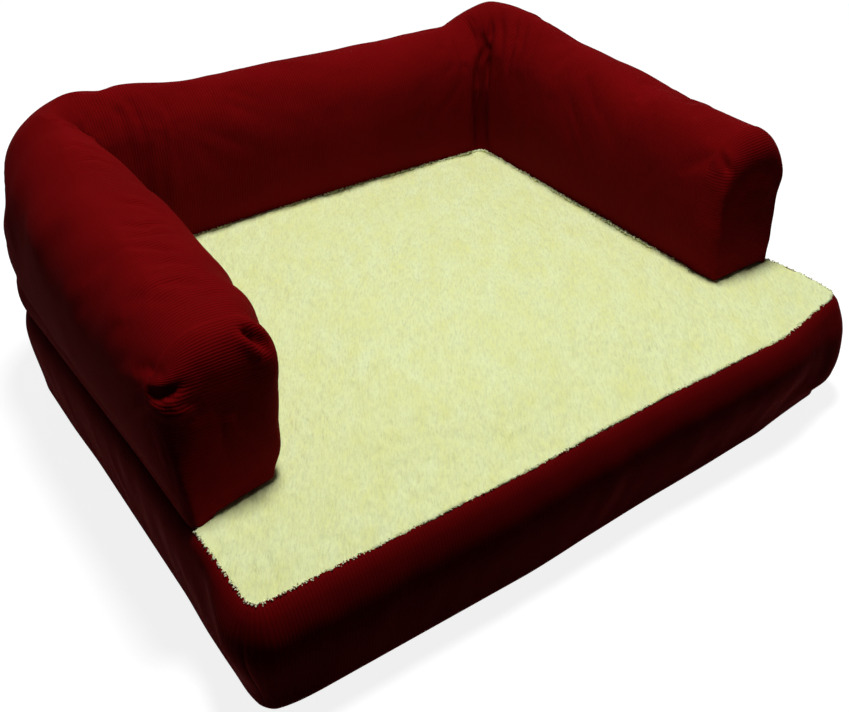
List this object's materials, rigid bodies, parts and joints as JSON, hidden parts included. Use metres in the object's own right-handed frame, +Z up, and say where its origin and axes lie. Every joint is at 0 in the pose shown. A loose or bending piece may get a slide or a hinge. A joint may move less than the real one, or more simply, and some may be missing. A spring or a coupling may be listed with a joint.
{
  "type": "dog sofa bed",
  "caption": "Boxed foam pet mattress with a fleece top and a stuffed ribbed-cloth bolster round the back and both sides, open in front, cover closed by a zip along the back.",
  "frame": {"origin": "centre of the underside, on the floor", "axes": "+Z up, +X to the right as seen from the open front, +Y towards the bolster's back"},
  "size_m": [0.774, 0.6732, 0.3231],
  "materials": {
    "ribbed_cloth": "matte ribbed cloth",
    "fleece": "short curled pile",
    "underside_cloth": "plain woven cloth",
    "foam": "open-cell foam",
    "fibre_pad": "bonded fibre wadding",
    "fibre_fill": "loose polyester fibre",
    "zip_tape": "woven tape",
    "zip_teeth": "nylon coil",
    "zip_metal": "nickel plated"
  },
  "bodies": {
    "bed": {"bottom_panel": "underside_cloth", "front_band": "ribbed_cloth", "left_band": "ribbed_cloth", "right_band": "ribbed_cloth", "back_band_upper": "ribbed_cloth", "back_band_lower": "ribbed_cloth", "foam_core": "foam", "comfort_topper": "fibre_pad", "fleece_top_panel": "fleece", "bolster_underside": "underside_cloth", "left_arm_cover": "ribbed_cloth", "left_arm_end": "ribbed_cloth", "left_arm_fill": "fibre_fill", "right_arm_cover": "ribbed_cloth", "right_arm_end": "ribbed_cloth", "right_arm_fill": "fibre_fill", "back_cover": "ribbed_cloth", "back_fill": "fibre_fill", "zip_upper_tape": "zip_tape", "zip_lower_tape": "zip_tape", "zip_upper_teeth": "zip_teeth", "zip_lower_teeth": "zip_teeth", "zip_bottom_stop": "zip_metal", "zip_top_stops": "zip_metal"},
    "zip_slider": {"zip_slider": "zip_metal"},
    "zip_pull": {"zip_pull": "zip_metal"}
  },
  "joints": [
    {"name": "zip_slide", "type": "slide", "parent": "bed", "child": "zip_slider", "axis": [-1, 0, 0], "range_m": [0, 0.474]},
    {"name": "zip_pull_swing", "type": "hinge", "parent": "zip_slider", "child": "zip_pull", "pos_m": [0.2372, 0.3342, 0.07], "axis": [0, 0, -1], "range_deg": [0, 170]}
  ]
}
